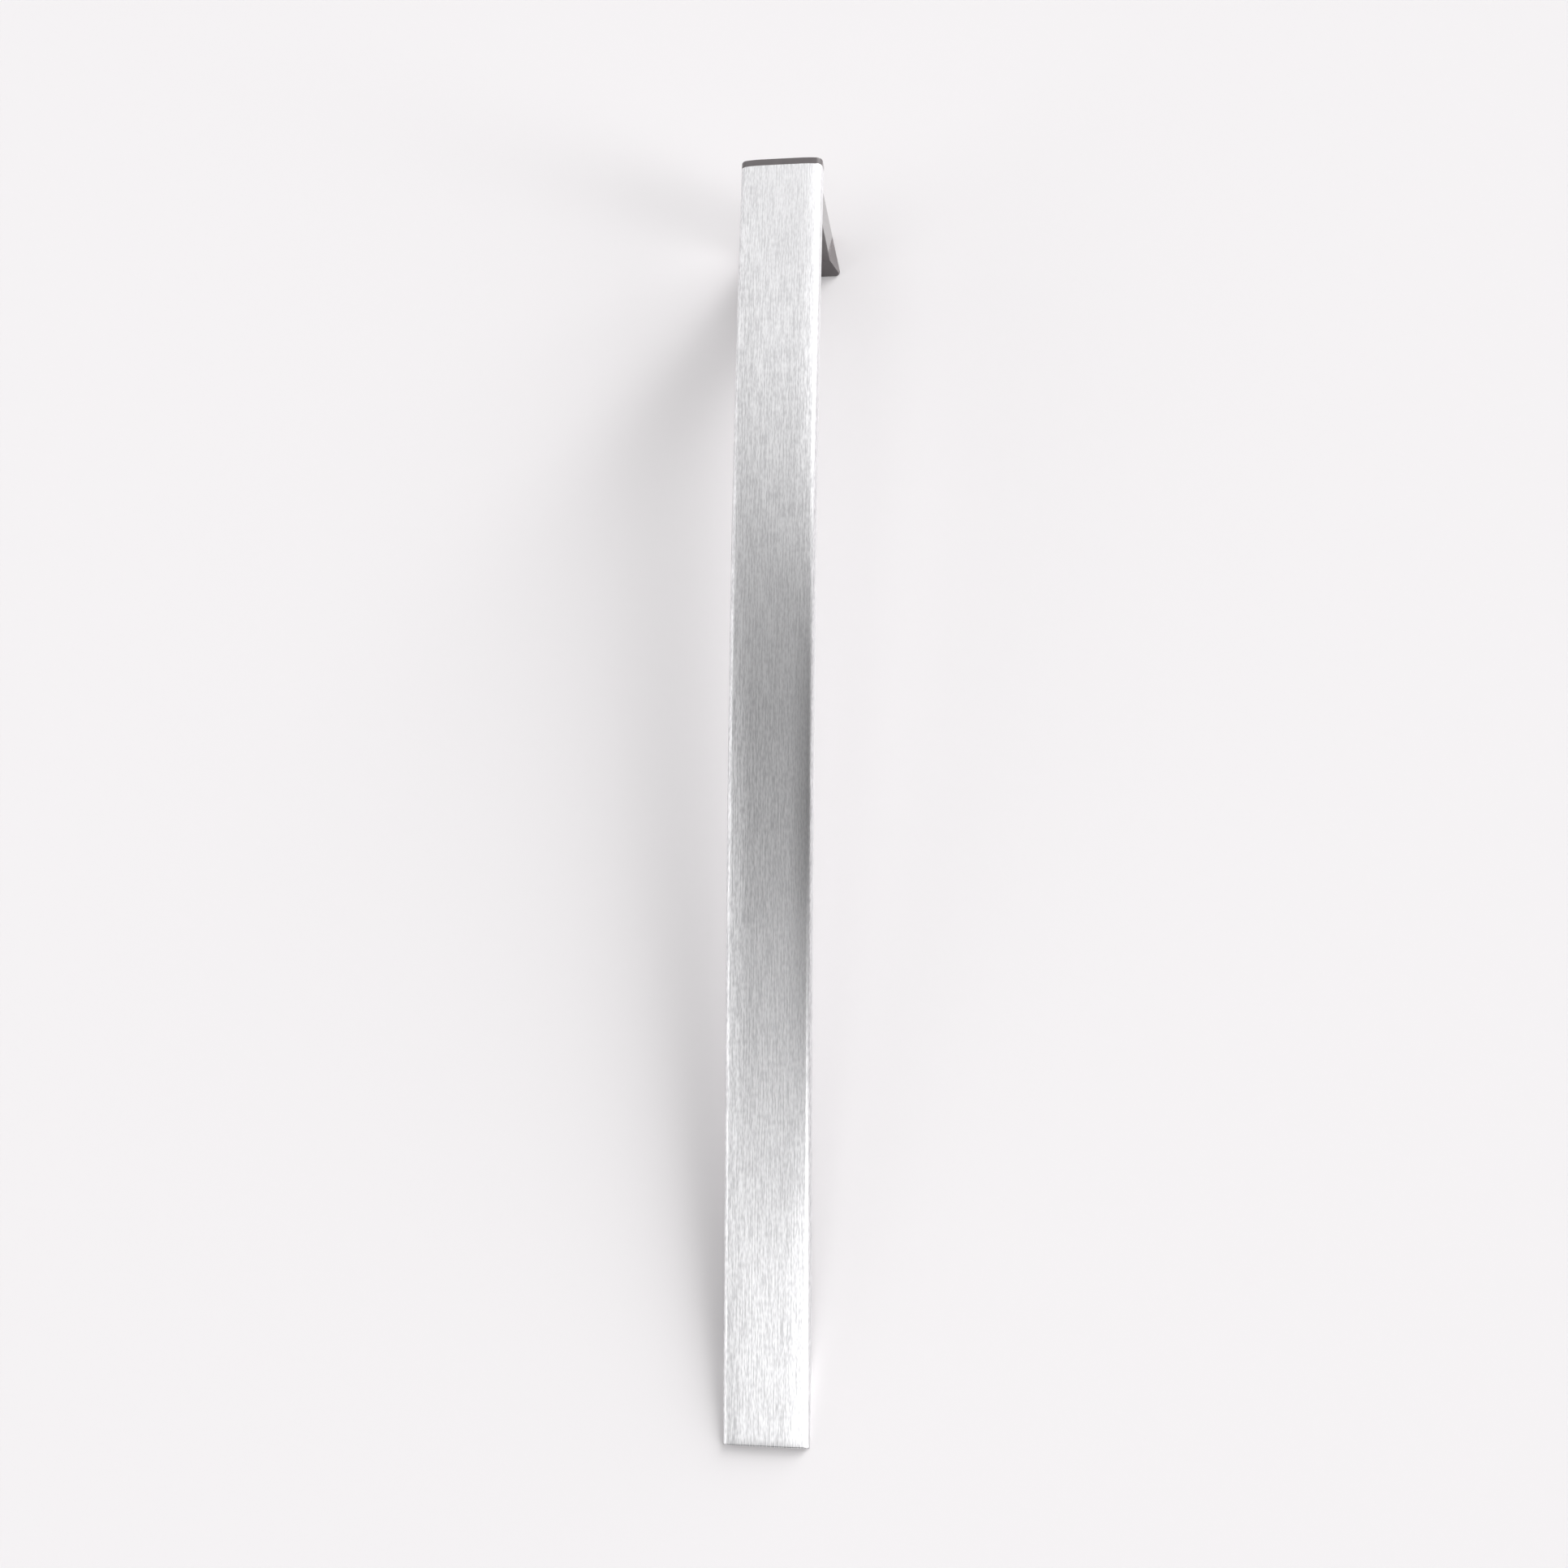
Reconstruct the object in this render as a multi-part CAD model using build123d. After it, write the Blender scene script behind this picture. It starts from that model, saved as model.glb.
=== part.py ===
from build123d import *
import math
import os

# A pull handle for a refrigerator door: a bowed aluminium channel whose heel lies on the door,
# and a plastic end post that caps the raised end and stands on the door.
# X runs across the handle, Y from the heel to the raised end, Z away from the door face at Z = 0.

# Bar: an extruded channel, open towards the door
bar_width = 27.0
bar_depth = 6.0
bar_wall = 1.7
front_flat = 13.0
front_roll_radius = 33.0
front_edge_radius = 2.2
inner_edge_radius = 0.8
rim_radius = 0.5

# Bow: a straight run up from the heel and a level run at the raised end, rounded into each other
bar_run = 407.0
stand_off = 50.0
bow_reach = 126.0
heel_flat = 22.0
heel_edge_round = 0.5

# End post: flange, plug and leg of one moulding
cap_thickness = 2.4
cap_edge_round = 0.4
plug_length = 38.0
plug_clearance = 0.2
leg_depth = 13.0
leg_corner_radius = 1.0
leg_edge_radius = 0.4
throat_radius = 5.0

# Foot: flat facets flare out from the leg, most on the finger side and not at all at the outer end
foot_flare = 3.4
foot_height = 4.8
foot_corner_radius = 1.6

# Pilot hole in the foot for a screw driven from inside the door
screw_hole_radius = 2.1
screw_hole_depth = 22.0
screw_boss_wall = 2.6

# Coring that keeps the leg's walls even, hidden in the foot
core_wall = 2.2
core_corner_radius = 0.8
leg_core_depth = 34.0

# Places along the handle, with the origin under the middle of its length
total_length = bar_run + cap_thickness
heel_y = -total_length / 2
bar_end_y = heel_y + bar_run
outer_y = bar_end_y + cap_thickness
leg_near_y = outer_y - leg_depth
screw_y = outer_y - leg_depth / 2

# Heights of the channel's rims at the raised end, and of the plug inside it
rim_z = stand_off - bar_depth
plug_top = bar_wall + plug_clearance
plug_half = bar_width / 2 - bar_wall - plug_clearance
leg_top = rim_z + bar_depth / 2

# The slanted run passes one bar depth above the end of the heel's flat and then crosses the level run
crossing_y = bar_end_y - bow_reach
slant_run = crossing_y - (heel_y + heel_flat)
slope = math.atan2(stand_off, slant_run) - math.asin(bar_depth / math.hypot(slant_run, stand_off))
bow_radius = bow_reach / math.tan(slope / 2)
straight_length = (crossing_y - heel_y) / math.cos(slope) - bow_reach
bow_axis = Axis((0, bar_end_y, stand_off - bow_radius), (1, 0, 0))

# The bar's end face at the raised end, looking back along the bar, with its origin on the front
end_plane = Plane(origin=(0, bar_end_y, stand_off), x_dir=(1, 0, 0), z_dir=(0, -1, 0))


def outer_section():
    """The bar's outline: a front that is flat in the middle and rolls off, round edges, straight sides."""
    half = bar_width / 2
    flat = front_flat / 2
    drop = front_roll_radius - math.sqrt(front_roll_radius**2 - (half - flat) ** 2)
    with BuildSketch() as sketch:
        with BuildLine():
            Line((-flat, 0), (flat, 0))
            TangentArc((flat, 0), (half, -drop), tangent=(1, 0))
            Polyline((half, -drop), (half, -bar_depth), (-half, -bar_depth), (-half, -drop))
            TangentArc((-flat, 0), (-half, -drop), tangent=(-1, 0))
        make_face()
        fillet(sketch.vertices().group_by(Axis.Y)[-2], front_edge_radius)
    return sketch.sketch


def channel_section():
    """The outline with the channel cut out, its inner corners and rims rounded."""
    half = bar_width / 2 - bar_wall
    with BuildSketch() as sketch:
        add(outer_section())
        with Locations((0, -bar_wall)):
            Rectangle(2 * half, 2 * bar_depth, align=(Align.CENTER, Align.MAX), mode=Mode.SUBTRACT)
        roof = sketch.edges().filter_by(Axis.X).sort_by(Axis.Y)[-2]
        fillet(roof.vertices(), inner_edge_radius)
        fillet(sketch.vertices().group_by(Axis.Y)[0], rim_radius)
    return sketch.sketch


def make_grip_bar():
    """Revolve the section round the bow, run it straight to the heel, and trim the heel on the door."""
    section = end_plane * channel_section()
    turn = math.degrees(slope)
    bowed = revolve(section, axis=bow_axis, revolution_arc=turn)
    downhill = Vector(0, -math.cos(slope), -math.sin(slope))
    straight = extrude(section.rotate(bow_axis, turn), amount=straight_length + bar_depth, dir=downhill)
    door_side = (Align.CENTER, Align.MIN, Align.MIN)
    kept = Pos(0, heel_y, 0) * Box(2 * bar_width, bar_run, 2 * stand_off, align=door_side)
    bar = (bowed + straight) & kept
    heel_face = bar.faces().sort_by(Axis.Y)[0]
    front_edges = heel_face.outer_wire().edges().sort_by(Axis.Z)[-5:]
    return fillet(front_edges, heel_edge_round)


def plug_section():
    """The channel's inside, less the clearance, down to the rims."""
    with BuildSketch() as sketch:
        with Locations((0, -plug_top)):
            Rectangle(2 * plug_half, bar_depth - plug_top, align=(Align.CENTER, Align.MAX))
        fillet(sketch.vertices().group_by(Axis.Y)[-1], inner_edge_radius)
    return sketch.sketch


def throat_section():
    """The hollow round that the fingers meet where the leg joins the plug, seen from the side."""
    heel_side = (leg_near_y - throat_radius, rim_z)
    door_side = (leg_near_y, rim_z - throat_radius)
    with BuildSketch(Plane.YZ) as sketch:
        with BuildLine():
            RadiusArc(door_side, heel_side, -throat_radius)
            Line(heel_side, (heel_side[0], leg_top))
            Polyline((heel_side[0], leg_top), (screw_y, leg_top), (screw_y, door_side[1]), door_side)
        make_face()
    return sketch.sketch


def plan_outline(near_half, near_y, near_radius, far_y, far_radius):
    """A plan that narrows to the plug's width at its far side, with rounded corners."""
    corners = [(-near_half, near_y), (near_half, near_y), (plug_half, far_y), (-plug_half, far_y)]
    with BuildSketch() as sketch:
        with BuildLine():
            Polyline(*corners, close=True)
        make_face()
        fillet(sketch.vertices().group_by(Axis.Y)[0], near_radius)
        fillet(sketch.vertices().group_by(Axis.Y)[-1], far_radius)
    return sketch.sketch


def make_foot():
    """The flare: a low block on the door, cut by one sloping facet in front and one on each side."""
    toe_y = leg_near_y - foot_flare
    toe_half = plug_half + foot_flare
    start_y = outer_y - leg_corner_radius
    plan = plan_outline(toe_half, toe_y, foot_corner_radius, start_y, leg_edge_radius)
    block = extrude(plan, amount=foot_height)
    facets = [Plane(origin=(0, toe_y, 0), z_dir=(0, -foot_height, foot_flare))]
    for side in (-1, 1):
        start = Vector(side * plug_half, start_y, 0)
        along_door = Vector(side * toe_half, toe_y, 0) - start
        up_leg = Vector(side * plug_half, leg_near_y, foot_height) - start
        facets.append(Plane(origin=start, z_dir=up_leg.cross(along_door) * side))
    for facet in facets:
        block = split(block, bisect_by=facet, keep=Keep.BOTTOM)
    return block


def make_leg_cores():
    """Two like coring pockets in the leg, left and right of the screw's boss, open towards the door."""
    boss_half = screw_hole_radius + screw_boss_wall
    width = plug_half - core_wall - boss_half
    middle_x = boss_half + width / 2
    with BuildSketch() as sketch:
        with Locations((-middle_x, screw_y), (middle_x, screw_y)):
            RectangleRounded(width, leg_depth - 2 * core_wall, core_corner_radius)
    return extrude(sketch.sketch, amount=leg_core_depth)


def make_end_post():
    """Flange over the bar's end, plug along the bow inside the channel, leg down to a flared foot."""
    flange = extrude(end_plane * outer_section(), amount=-cap_thickness)
    flange = fillet(flange.faces().sort_by(Axis.Y)[-1].edges(), cap_edge_round)
    plug_turn = math.degrees(plug_length / bow_radius)
    plug = revolve(end_plane * plug_section(), axis=bow_axis, revolution_arc=plug_turn)
    throat = extrude(throat_section(), amount=plug_half - leg_corner_radius, both=True)

    leg_plan = plan_outline(plug_half, leg_near_y, leg_edge_radius, outer_y, leg_corner_radius)
    leg = extrude(leg_plan, amount=leg_top)
    foot = make_foot()

    upward = (Align.CENTER, Align.CENTER, Align.MIN)
    screw_hole = Pos(0, screw_y, 0) * Cylinder(screw_hole_radius, screw_hole_depth, align=upward)
    return flange + plug + throat + leg + foot - screw_hole - make_leg_cores()


os.makedirs("parts", exist_ok=True)
export_step(make_grip_bar(), "parts/grip_bar.step")
export_step(make_end_post(), "parts/end_post.step")
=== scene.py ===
import math

import bpy
import numpy as np
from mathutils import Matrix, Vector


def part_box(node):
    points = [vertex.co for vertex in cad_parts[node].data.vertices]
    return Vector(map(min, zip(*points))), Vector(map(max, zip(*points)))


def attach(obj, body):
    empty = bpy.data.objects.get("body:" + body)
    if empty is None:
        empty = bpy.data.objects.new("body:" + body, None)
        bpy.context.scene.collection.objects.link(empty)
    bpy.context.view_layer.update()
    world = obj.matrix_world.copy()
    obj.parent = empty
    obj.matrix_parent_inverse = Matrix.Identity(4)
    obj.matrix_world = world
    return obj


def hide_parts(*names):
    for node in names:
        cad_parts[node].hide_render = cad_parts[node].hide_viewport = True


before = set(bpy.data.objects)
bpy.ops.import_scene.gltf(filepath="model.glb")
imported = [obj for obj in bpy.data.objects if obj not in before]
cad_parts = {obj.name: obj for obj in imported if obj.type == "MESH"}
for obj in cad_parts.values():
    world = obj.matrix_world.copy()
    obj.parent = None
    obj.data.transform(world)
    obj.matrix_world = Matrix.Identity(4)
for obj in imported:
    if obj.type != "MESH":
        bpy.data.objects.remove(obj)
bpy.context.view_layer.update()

# The grip bar: an extruded aluminium channel, open towards the door, bowed along its length.
# Its front is brushed lengthwise and satin anodised, and its heel is cut to lie flat on the door.
bar_low, bar_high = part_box("grip_bar")
bar_width = bar_high.x - bar_low.x
bar_depth = 0.006
bar_wall = 0.0017
front_flat = 0.013
front_roll_radius = 0.033
front_edge_radius = 0.0022
inner_edge_radius = 0.0008
rim_radius = 0.0005
trimmed_rim_radius = 0.00008
rim_run_out = 0.004
heel_y = bar_low.y
bar_end_y = bar_high.y
stand_off = bar_high.z
bow_reach = 0.126
heel_flat = 0.022
heel_edge_round = 0.0005
heel_round_rows = 9
station_rows = 170
crease_deg = 40
slant_run = bar_end_y - bow_reach - heel_y - heel_flat
slope = math.atan2(stand_off, slant_run) - math.asin(bar_depth / math.hypot(slant_run, stand_off))
bow_radius = bow_reach / math.tan(slope / 2)


def bow_height(along, depth):
    """Height above the door of the line that runs at this depth under the bar's front.

    Near the raised end it is an arc, concentric with the bow and level at the end. Beyond the arc
    it is the straight line, parallel to the front, that leaves the arc as its tangent.
    """
    back = bar_end_y - along
    radius = bow_radius - depth
    reach = radius * math.sin(slope)
    arc = stand_off - bow_radius + np.sqrt(radius**2 - np.minimum(back, reach) ** 2)
    return arc - np.maximum(back - reach, 0) * math.tan(slope)


def half_channel(flat_steps, roll_steps, round_steps, wall_steps, rim_steps):
    """Half of the channel's section, from its middle to its rim, as two matching rows of points.

    The outer row is the front's flat, the wide arc by which the front rolls off, the front edge's
    round, the side and half of the rim.
    The inner row is the roof, the inner corner's quarter round, the wall and the rim's other half.
    Columns: x, depth from the front, share of the side's depth, and how far the rim's radius
    moves the point in x and in depth. The last two are the outward normal, sideways and frontwards.
    """
    half = bar_width / 2
    flat = front_flat / 2
    centre_x = half - front_edge_radius
    inset = front_roll_radius - front_edge_radius
    centre_d = front_roll_radius - math.sqrt(inset**2 - (centre_x - flat) ** 2)
    lean = math.asin((centre_x - flat) / inset)
    none = np.zeros

    middle = [np.linspace(0, flat, flat_steps + 1)[:-1]] + [none(flat_steps)] * 5
    middle += [np.ones(flat_steps)]
    sweep = np.linspace(0, lean, roll_steps)
    roll = [flat + front_roll_radius * np.sin(sweep), front_roll_radius * (1 - np.cos(sweep))]
    roll += [none(roll_steps)] * 3 + [np.sin(sweep), np.cos(sweep)]
    turn = np.linspace(math.pi / 2 - lean, 0, round_steps + 1)[1:]
    edge = [centre_x + front_edge_radius * np.cos(turn), centre_d - front_edge_radius * np.sin(turn)]
    edge += [none(round_steps)] * 3 + [np.cos(turn), np.sin(turn)]
    share = np.linspace(0, 1, wall_steps + 1)[1:]
    side = [np.full(wall_steps, half), centre_d * (1 - share), share, none(wall_steps), -share]
    side += [1 - share, none(wall_steps)]
    bend = np.linspace(0, math.pi / 2, rim_steps + 1)[1:]
    rim = [np.full(rim_steps, half), none(rim_steps), np.ones(rim_steps), np.cos(bend) - 1]
    rim += [np.sin(bend) - 1, none(rim_steps), none(rim_steps)]
    outer = np.hstack([np.array(run) for run in (middle, roll, edge, side, rim)])

    inside = half - bar_wall
    corner_d = bar_wall + inner_edge_radius
    roof_steps = flat_steps + roll_steps
    roof_x = np.linspace(0, inside - inner_edge_radius, roof_steps)
    roof = [roof_x, np.full(roof_steps, bar_wall)] + [none(roof_steps)] * 5
    turn = np.linspace(math.pi / 2, 0, round_steps + 1)[1:]
    corner_x = inside - inner_edge_radius * (1 - np.cos(turn))
    corner = [corner_x, corner_d - inner_edge_radius * np.sin(turn)] + [none(round_steps)] * 5
    wall = [np.full(wall_steps, inside), corner_d * (1 - share), share, none(wall_steps), -share]
    wall += [none(wall_steps)] * 2
    lip = [np.full(rim_steps, inside), none(rim_steps), np.ones(rim_steps), 1 - np.cos(bend)]
    lip += [np.sin(bend) - 1, none(rim_steps), none(rim_steps)]
    inner = np.hstack([np.array(run) for run in (roof, corner, wall, lip)])
    return outer, inner


def mirrored(half_row):
    """A half row of the section made whole: its mirror image from the left rim, then itself.

    The columns that point sideways change sign: x, the rim's move in x and the sideways normal.
    """
    sideways = [0, 3, 5]
    left = half_row[:, :0:-1].copy()
    left[sideways] *= -1
    return np.hstack([left, half_row])


def bowed_channel():
    """The section carried along the bow: each point keeps its x and its depth under the front line.

    The side's depth ends at the door where the bar would pass below it, so the heel lies flat there.
    The rims are sharp where they are trimmed, and grow round over a short run past the heel's flat.
    At the heel the outer points draw in along a quarter circle, which rounds the cut front edge.
    Returns the points as (section, station, xyz), the outer row's length, and for each point its
    way across the section and along the bar, with the first section point repeated at the end.
    """
    turn = np.linspace(0, math.pi / 2, heel_round_rows)
    rounding = heel_y + heel_edge_round * (1 - np.cos(turn))
    run = np.linspace(rounding[-1], bar_end_y, station_rows)[1:]
    along = np.concatenate([rounding, np.union1d(run, [heel_y + heel_flat])])
    to_go = np.clip(heel_edge_round - (along - heel_y), 0, heel_edge_round)
    draw_in = heel_edge_round - np.sqrt(heel_edge_round**2 - to_go**2)
    full = np.minimum(bar_depth, bow_height(along, 0) * math.cos(slope))
    spread = np.clip((along - heel_y - heel_flat) / rim_run_out, 0, 1)
    rim = trimmed_rim_radius + (rim_radius - trimmed_rim_radius) * spread

    outer, inner = half_channel(flat_steps=6, roll_steps=10, round_steps=12, wall_steps=8, rim_steps=5)
    whole_outer, whole_inner = mirrored(outer), mirrored(inner)
    loop = np.hstack([whole_outer, whole_inner[:, ::-1]])
    x, depth, share, rim_x, rim_d, side, front = (row[:, None] for row in loop)
    x = x + rim_x * rim - side * draw_in
    depth = depth + share * full + rim_d * rim + front * draw_in
    along = np.broadcast_to(along, x.shape)
    height = np.maximum(bow_height(along, depth), 0)
    outline = np.stack([x[:, -1], depth[:, -1]])
    steps = np.hypot(*np.diff(outline, axis=1, append=outline[:, :1]))
    across = np.concatenate([[0], np.cumsum(steps)])
    ways = np.stack(np.meshgrid(across, along[0] - heel_y, indexing="ij"), axis=-1)
    return np.stack([x, along, height], axis=-1), len(whole_outer[0]), ways


def sheet_faces(rows, columns, closed):
    """Quads over a grid of rows by columns of points, joined round the rows where closed."""
    last = rows if closed else rows - 1
    i, j = np.meshgrid(np.arange(last), np.arange(columns - 1), indexing="ij")
    nxt = (i + 1) % rows
    quads = [i * columns + j, nxt * columns + j, nxt * columns + j + 1, i * columns + j + 1]
    return np.stack(quads, -1).reshape(-1, 4)


def sheet_corners(grid):
    """The values of a grid at the four corners of each of its quads, in the order of sheet_faces."""
    corners = [grid[:-1, :-1], grid[1:, :-1], grid[1:, 1:], grid[:-1, 1:]]
    return np.stack(corners, axis=2).reshape(-1, 4, 2)


def surface_piece(name, points, faces, uv_maps):
    """A mesh object at the origin from points and quads, with UVs for the quads' corners.

    It is smooth, and sharp along edges that turn by more than the crease angle.
    """
    mesh = bpy.data.meshes.new(name)
    mesh.from_pydata(points.reshape(-1, 3), [], faces)
    for map_name, corners in uv_maps.items():
        layer = mesh.uv_layers.new(name=map_name)
        layer.data.foreach_set("uv", corners.astype(np.float32).ravel())
    mesh.shade_smooth()
    mesh.set_sharp_from_angle(angle=math.radians(crease_deg))
    piece = bpy.data.objects.new(name, mesh)
    bpy.context.scene.collection.objects.link(piece)
    return piece


def end_ring_map(count, low, high):
    """A narrow strip of the map for an end face's ring of quads, from its outer edge at low to high."""
    share = np.linspace(0, 1, count + 1)
    ring = np.stack(np.meshgrid(share, [low, high], indexing="ij")[::-1], axis=-1)
    return np.stack([ring[:-1, 0], ring[1:, 0], ring[1:, 1], ring[:-1, 1]], axis=1)


bar_points, outer_count, bar_ways = bowed_channel()
section_count, station_count = bar_points.shape[:2]
ring_steps = outer_count - 1
step = np.arange(ring_steps)
ring = np.stack([step, step + 1, section_count - 2 - step, section_count - 1 - step], -1)
heel_ring = ring[:, ::-1] * station_count
raised_ring = ring * station_count + station_count - 1
bar_faces = np.concatenate([sheet_faces(section_count, station_count, True), heel_ring, raised_ring])

# Two maps: one in metres across and along the bar, for the brushing, and one that lays the
# surface out in the unit square, with the end faces in narrow strips along its margins.
flat_points = bar_points.reshape(-1, 3)[:, ::2]
end_ways = [flat_points[heel_ring], flat_points[raised_ring]]
brushed_way = np.concatenate([sheet_corners(bar_ways), *end_ways])
map_margin = 0.01
strip_low = 0.2 * map_margin
strip_high = 0.8 * map_margin
spread_out = bar_ways[..., ::-1] / bar_ways[-1, -1, ::-1]
spread_out = spread_out * (1 - 2 * map_margin, 1) + (map_margin, 0)
laid_out = np.concatenate([
    sheet_corners(spread_out),
    end_ring_map(ring_steps, strip_low, strip_high)[:, ::-1],
    end_ring_map(ring_steps, 1 - strip_low, 1 - strip_high),
])
bar_maps = {"along_surface": brushed_way, "OFBake": laid_out}
bar = surface_piece("brushed_grip_bar", bar_points, bar_faces, bar_maps)

# The stretched highlight takes its direction round the middle of the mesh's texture space. With
# that far out on the left, it is the same all along the bar.
bar.data.use_auto_texspace = False
bar.data.texspace_location = (-10, 0, 0)
bar.data.texspace_size = (1, 1, 1)


class Finish:
    """A socket of a finish's nodes: arithmetic on it adds Math nodes, and node() adds any other."""

    def __init__(self, tree, socket=None):
        self.tree = tree
        self.socket = socket

    def node(self, kind, settings, sockets, output=0):
        """Add a node, set its settings, then set or link its sockets, and give one of its outputs."""
        made = self.tree.nodes.new(kind)
        for name, value in settings.items():
            setattr(made, name, value)
        for name, value in sockets.items():
            if isinstance(value, Finish):
                self.tree.links.new(value.socket, made.inputs[name])
            else:
                made.inputs[name].default_value = value
        return Finish(self.tree, made.outputs[output] if made.outputs else None)

    def math(self, operation, *values):
        """A Math node on these values."""
        return self.node("ShaderNodeMath", {"operation": operation}, dict(enumerate(values)))

    def __add__(self, other):
        return self.math("ADD", self, other)

    def __sub__(self, other):
        return self.math("SUBTRACT", self, other)

    def __mul__(self, other):
        return self.math("MULTIPLY", self, other)

    def __rsub__(self, other):
        return self.math("SUBTRACT", other, self)

    __radd__ = __add__
    __rmul__ = __mul__


def new_finish(name):
    """An empty material, and the handle on which its nodes are built."""
    material = bpy.data.materials.new(name)
    material.use_nodes = True
    material.node_tree.nodes.clear()
    return material, Finish(material.node_tree)


def streaks(place, widths, lengths, detail):
    """Noise drawn out along the bar: streaks about 1/widths across and 1/lengths long, in metres."""
    stretch = {0: place, 1: (widths, lengths, 1)}
    drawn = place.node("ShaderNodeVectorMath", {"operation": "MULTIPLY"}, stretch)
    sockets = {"Vector": drawn, "Scale": 1, "Detail": detail, "Roughness": 0.6}
    return place.node("ShaderNodeTexNoise", {"noise_dimensions": "2D"}, sockets)


def eased(value, low, high):
    """A value carried smoothly from 0, below low, to 1, above high."""
    sockets = {"Value": value, "From Min": low, "From Max": high}
    return value.node("ShaderNodeMapRange", {"interpolation_type": "SMOOTHSTEP"}, sockets)


def blended(share, low_colour, high_colour):
    """A colour between two, by share. The Mix node's colours are its sockets 6 and 7 and output 2."""
    sockets = {0: share, 6: low_colour, 7: high_colour}
    return share.node("ShaderNodeMix", {"data_type": "RGBA"}, sockets, output=2)


dull_aluminium = (0.600, 0.597, 0.610, 1)
bright_aluminium = (0.970, 0.967, 0.980, 1)
aluminium, finish = new_finish("brushed_aluminium")
place = finish.node("ShaderNodeUVMap", {"uv_map": "along_surface"}, {})
fine_hairs = streaks(place, widths=2600, lengths=620, detail=0)
short_hairs = streaks(place, widths=2450, lengths=210, detail=0)
long_hairs = streaks(place, widths=2300, lengths=70, detail=0)
cloud = streaks(place, widths=130, lengths=30, detail=3)
hairs = fine_hairs * 0.32 + short_hairs * 0.34 + long_hairs * 0.34
brushing = eased(hairs, 0.26, 0.74)
tone = brushing * 0.9 + eased(cloud, 0.3, 0.7) * 0.1
colour = blended(tone, dull_aluminium, bright_aluminium)
roughness = 0.36 - brushing * 0.08
relief = finish.node("ShaderNodeBump", {}, {"Strength": 0.4, "Distance": 0.00002, "Height": hairs})
metal = finish.node("ShaderNodeBsdfPrincipled", {}, {
    "Base Color": colour, "Metallic": 1.0, "Roughness": roughness, "Normal": relief,
    "Anisotropic": 0.8, "Anisotropic Rotation": 0.25,
})
finish.node("ShaderNodeOutputMaterial", {}, {"Surface": metal})
bar.data.materials.append(aluminium)
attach(bar, "root")
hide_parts("grip_bar")

# The end post: one glossy dark grey plastic moulding of flange, plug, leg and flared foot.
# Its plug is pushed into the bar's raised end, and a screw from inside the door holds its foot.
darker_grey = (0.122, 0.111, 0.113, 1)
lighter_grey = (0.150, 0.136, 0.139, 1)
plastic, finish = new_finish("dark_plastic")
place = finish.node("ShaderNodeTexCoord", {}, {}, output="Object")
grain = finish.node("ShaderNodeTexNoise", {}, {"Vector": place, "Scale": 2600, "Detail": 3})
mottle = finish.node("ShaderNodeTexNoise", {}, {"Vector": place, "Scale": 140, "Detail": 4})
colour = blended(eased(mottle, 0.3, 0.7), darker_grey, lighter_grey)
roughness = 0.06 + eased(mottle * 0.5 + grain * 0.5, 0.3, 0.7) * 0.05
relief = finish.node("ShaderNodeBump", {}, {"Strength": 0.2, "Distance": 0.00002, "Height": grain})
shell = finish.node("ShaderNodeBsdfPrincipled", {}, {
    "Base Color": colour, "Roughness": roughness, "Normal": relief,
})
finish.node("ShaderNodeOutputMaterial", {}, {"Surface": shell})
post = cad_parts["end_post"]
post.data.materials.clear()
post.data.materials.append(plastic)

# The stage: a plain pale matt floor under the object, painted one even tone. It lies a hair below
# the door face that the handle stands on, so that the two don't share a plane.
floor_half = 6.0
floor_drop = 0.0001
floor_rows = 3
floor_white = (0.816, 0.797, 0.807, 1)
edge = np.linspace(-floor_half, floor_half, floor_rows)
floor_x, floor_y = np.meshgrid(edge, edge, indexing="ij")
floor_points = np.stack([floor_x, floor_y, np.full_like(floor_x, -floor_drop)], -1)
floor = surface_piece("floor", floor_points, sheet_faces(floor_rows, floor_rows, False), {})
matt, finish = new_finish("pale_floor")
paint = finish.node("ShaderNodeBsdfDiffuse", {}, {"Color": floor_white})
finish.node("ShaderNodeOutputMaterial", {}, {"Surface": paint})
floor.data.materials.append(matt)

# Soft studio light: strong soft lamps on the right of the bar, towards each of its ends, and weaker
# ones over the heel, over the raised end and on the left, with the dimmest over the middle.
# The camera sees a plain pale backdrop beyond the floor, and so do mirrors, near the horizon.
lamp_level = 16.0
dim_level = 0.11
backdrop_white = (0.90, 0.88, 0.89, 1)
horizon_low = 0.02
horizon_high = 0.10
world = bpy.data.worlds.new("soft_studio")
bpy.context.scene.world = world
world.use_nodes = True
world.node_tree.nodes.clear()
sky = Finish(world.node_tree)
facing = sky.node("ShaderNodeTexCoord", {}, {}, output="Generated")


def glow(centre, spread, strength):
    """A soft lamp in the sky: a bell curve round its centre, times its strength.

    The curve is e to the minus square of the way from the centre, in spreads in x and in y.
    """
    offset = sky.node("ShaderNodeVectorMath", {"operation": "SUBTRACT"}, {0: facing, 1: (*centre, 0)})
    steps = (1 / spread[0], 1 / spread[1], 0)
    scaled = sky.node("ShaderNodeVectorMath", {"operation": "MULTIPLY"}, {0: offset, 1: steps})
    both = {0: scaled, 1: scaled}
    square = sky.node("ShaderNodeVectorMath", {"operation": "DOT_PRODUCT"}, both, output="Value")
    return sky.math("EXPONENT", 0 - square) * (strength / lamp_level)


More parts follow.
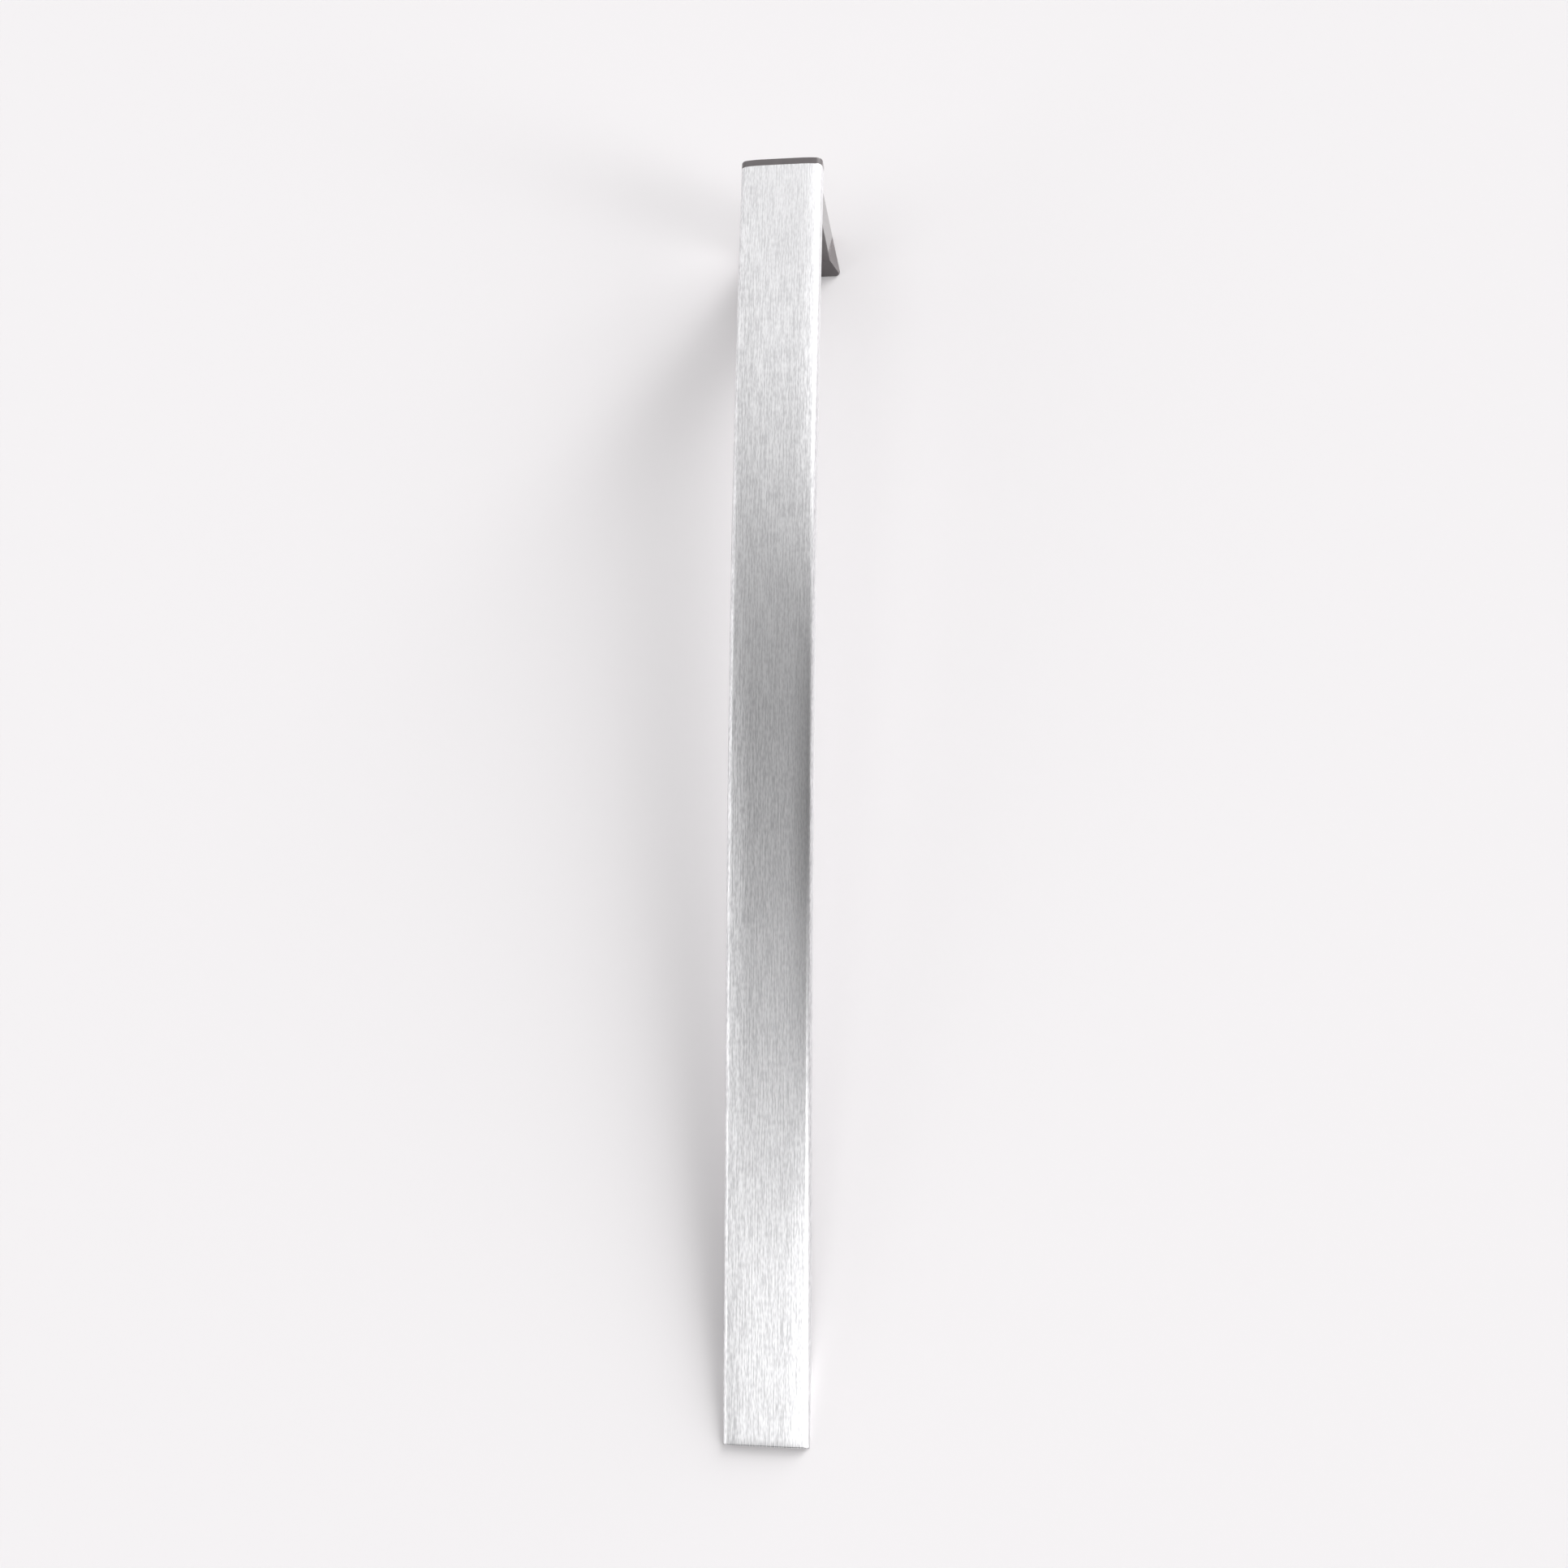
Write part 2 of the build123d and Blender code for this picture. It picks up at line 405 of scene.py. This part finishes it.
raised_right = glow((0.56, 0.75), (0.25, 0.16), 14.5)
raised_right_side = glow((0.56, 0.38), (0.23, 0.16), 2.3)
low_right = glow((0.88, 0.44), (0.16, 0.18), 2.5)
heel_right = glow((0.72, -0.40), (0.12, 0.12), 6.5)
heel_low_right = glow((0.92, -0.36), (0.12, 0.12), 7.5)
over_raised = glow((0.12, 0.31), (0.16, 0.16), 1.2)
over_heel = glow((0.13, -0.435), (0.16, 0.10), 3.9)
over_middle = glow((-0.35, -0.04), (0.30, 0.10), 0.24)
raised_left = glow((-0.48, 0.49), (0.44, 0.34), 0.97)
heel_left = glow((-0.39, -0.32), (0.16, 0.25), 1.5)
low_left = glow((-0.90, -0.36), (0.16, 0.70), 1.8)
on_the_right = raised_right + raised_right_side + low_right + heel_right + heel_low_right
overhead = over_raised + over_heel + over_middle
on_the_left = raised_left + heel_left + low_left
lit = dim_level / lamp_level + on_the_right + overhead + on_the_left
bright = sky.node("ShaderNodeBackground", {}, {"Color": (1, 1, 1, 1), "Strength": lamp_level})
dark = sky.node("ShaderNodeBackground", {}, {"Color": (0, 0, 0, 1), "Strength": 0.0})
pale = sky.node("ShaderNodeBackground", {}, {"Color": backdrop_white, "Strength": 1.0})
room = sky.node("ShaderNodeMixShader", {}, {0: lit, 1: dark, 2: bright})
camera_sees = sky.node("ShaderNodeLightPath", {}, {}, output="Is Camera Ray")
gloss_sees = sky.node("ShaderNodeLightPath", {}, {}, output="Is Glossy Ray")
glass_sees = sky.node("ShaderNodeLightPath", {}, {}, output="Is Transmission Ray")
height = sky.node("ShaderNodeSeparateXYZ", {}, {0: facing}, output="Z")
near_horizon = 1 - eased(height, horizon_low, horizon_high)
backdrop = camera_sees + (gloss_sees + glass_sees) * near_horizon
whole = sky.node("ShaderNodeMixShader", {}, {0: backdrop, 1: room, 2: pale})
sky.node("ShaderNodeOutputWorld", {}, {"Surface": whole})

# The camera: high over the middle of the bar and on its right, held as the picture was taken.
# Its focal length is counted in pixels of the square picture.
image_px = 1932
focal_px = 2200
camera_turn_deg = (12.473, 7.788, -0.103)
camera = bpy.data.cameras.new("camera")
camera.sensor_width = 36.0
camera.lens = camera.sensor_width * focal_px / image_px
camera_object = bpy.data.objects.new("camera", camera)
camera_object.location = (0.08035, -0.12306, 0.57526)
camera_object.rotation_mode = "ZYX"
camera_object.rotation_euler = [math.radians(turn) for turn in camera_turn_deg]
bpy.context.scene.collection.objects.link(camera_object)
bpy.context.scene.camera = camera_object
bpy.context.scene.view_settings.view_transform = "Standard"

bpy.context.view_layer.update()
